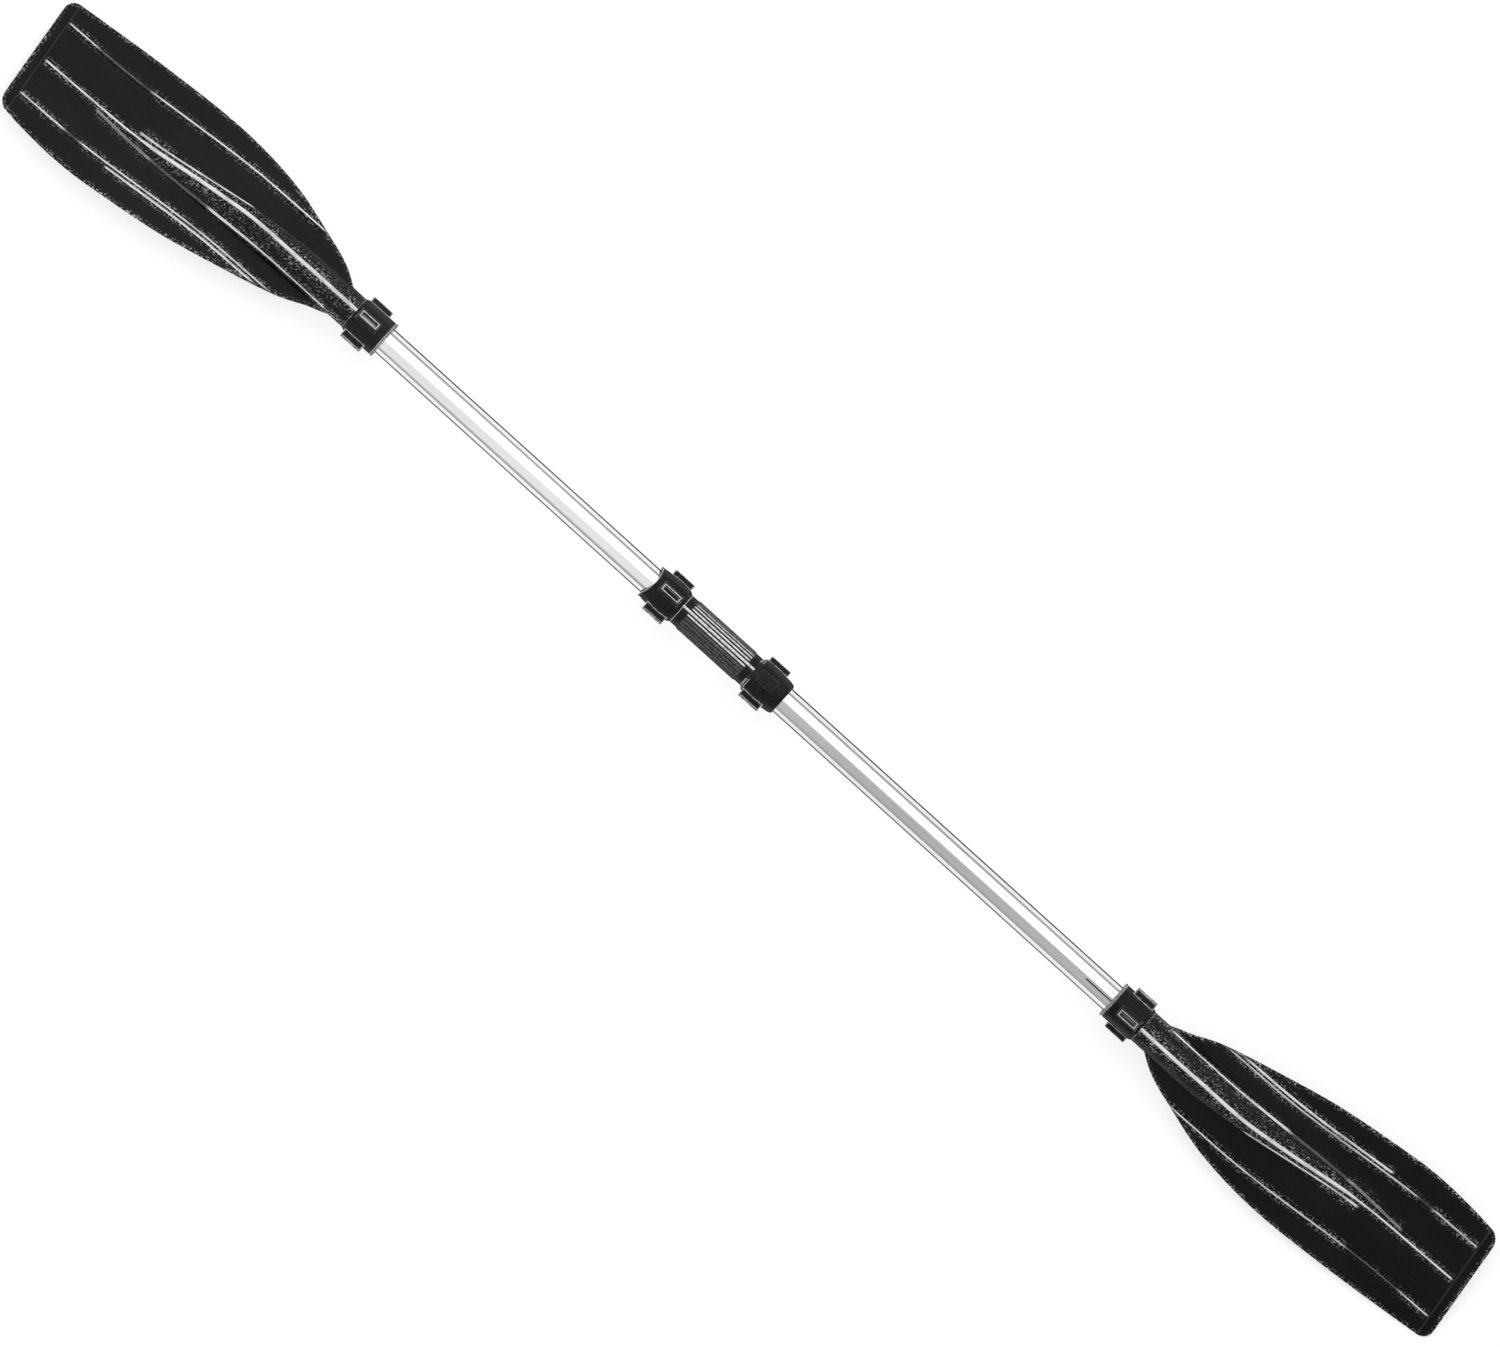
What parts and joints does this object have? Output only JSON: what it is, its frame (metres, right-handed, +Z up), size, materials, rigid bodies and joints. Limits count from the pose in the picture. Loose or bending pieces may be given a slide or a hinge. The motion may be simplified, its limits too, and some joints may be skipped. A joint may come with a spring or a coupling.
{
  "type": "kayak paddle",
  "caption": "Take-apart double-bladed kayak paddle: ribbed black plastic blades, bright aluminium tubes and a black centre connector with press-to-release sockets.",
  "frame": {"origin": "middle of the underside of the box around the paddle as it lies with the ribbed backs of its blades up", "axes": "+X along the shaft from the left blade to the right blade, +Z up, out of the ribbed side"},
  "size_m": [2.0322, 0.1856, 0.0817],
  "materials": {
    "black_plastic": "satin moulded plastic",
    "key_plastic": "satin moulded plastic, slightly smoother",
    "aluminium": "bright drawn tube",
    "spring_steel": "plain spring steel",
    "foam": "closed-cell foam"
  },
  "bodies": {
    "connector": {"centre_connector": "black_plastic"},
    "left_shaft": {"left_shaft": "aluminium", "connector_left_clip": "spring_steel", "connector_left_plug": "foam", "left_blade_clip": "spring_steel", "left_blade_plug": "foam"},
    "right_shaft": {"right_shaft": "aluminium", "connector_right_clip": "spring_steel", "connector_right_plug": "foam", "right_blade_clip": "spring_steel", "right_blade_plug": "foam"},
    "left_blade": {"left_blade": "black_plastic"},
    "right_blade": {"right_blade": "black_plastic"},
    "left_blade_key_upper": {"left_blade_key_upper": "key_plastic"},
    "left_blade_key_lower": {"left_blade_key_lower": "key_plastic"},
    "connector_left_key_upper": {"connector_left_key_upper": "key_plastic"},
    "connector_left_key_lower": {"connector_left_key_lower": "key_plastic"},
    "connector_right_key_upper": {"connector_right_key_upper": "key_plastic"},
    "connector_right_key_lower": {"connector_right_key_lower": "key_plastic"},
    "right_blade_key_upper": {"right_blade_key_upper": "key_plastic"},
    "right_blade_key_lower": {"right_blade_key_lower": "key_plastic"}
  },
  "joints": [
    {"name": "left_shaft_pull", "type": "slide", "parent": "connector", "child": "left_shaft", "axis": [-1, 0, 0], "range_m": [0, 0.1], "deforming": ["connector_left_clip"]},
    {"name": "right_feather", "type": "hinge", "parent": "connector", "child": "right_shaft", "pos_m": [0.0224, 0, 0.05404], "axis": [1, 0, 0], "range_deg": [-24, 66], "deforming": ["connector_right_clip"]},
    {"name": "left_blade_pull", "type": "slide", "parent": "left_shaft", "child": "left_blade", "axis": [-1, 0, 0], "range_m": [0, 0.08], "deforming": ["left_blade_clip"]},
    {"name": "right_blade_pull", "type": "slide", "parent": "right_shaft", "child": "right_blade", "axis": [1, 0, 0], "range_m": [0, 0.08], "deforming": ["right_blade_clip"]},
    {"name": "left_blade_key_upper_press", "type": "slide", "parent": "left_blade", "child": "left_blade_key_upper", "axis": [0, -0.9781, 0.2079], "range_m": [0, 0.0043], "stiffness_N_per_m": 600, "deforming": ["left_blade_clip"]},
    {"name": "left_blade_key_lower_press", "type": "slide", "parent": "left_blade", "child": "left_blade_key_lower", "axis": [0, 0.9781, -0.2079], "range_m": [0, 0.0043], "stiffness_N_per_m": 600, "deforming": ["left_blade_clip"]},
    {"name": "connector_left_key_upper_press", "type": "slide", "parent": "connector", "child": "connector_left_key_upper", "axis": [0, -0.9781, 0.2079], "range_m": [0, 0.0043], "stiffness_N_per_m": 600, "deforming": ["connector_left_clip"]},
    {"name": "connector_left_key_lower_press", "type": "slide", "parent": "connector", "child": "connector_left_key_lower", "axis": [0, 0.9781, -0.2079], "range_m": [0, 0.0043], "stiffness_N_per_m": 600, "deforming": ["connector_left_clip"]},
    {"name": "connector_right_key_upper_press", "type": "slide", "parent": "connector", "child": "connector_right_key_upper", "axis": [0, -0.9781, 0.2079], "range_m": [0, 0.0043], "stiffness_N_per_m": 600, "deforming": ["connector_right_clip"]},
    {"name": "connector_right_key_lower_press", "type": "slide", "parent": "connector", "child": "connector_right_key_lower", "axis": [0, 0.9781, -0.2079], "range_m": [0, 0.0043], "stiffness_N_per_m": 600, "deforming": ["connector_right_clip"]},
    {"name": "right_blade_key_upper_press", "type": "slide", "parent": "right_blade", "child": "right_blade_key_upper", "axis": [0, -0.9781, -0.2079], "range_m": [0, 0.0043], "stiffness_N_per_m": 600, "deforming": ["right_blade_clip"]},
    {"name": "right_blade_key_lower_press", "type": "slide", "parent": "right_blade", "child": "right_blade_key_lower", "axis": [0, 0.9781, 0.2079], "range_m": [0, 0.0043], "stiffness_N_per_m": 600, "deforming": ["right_blade_clip"]}
  ]
}
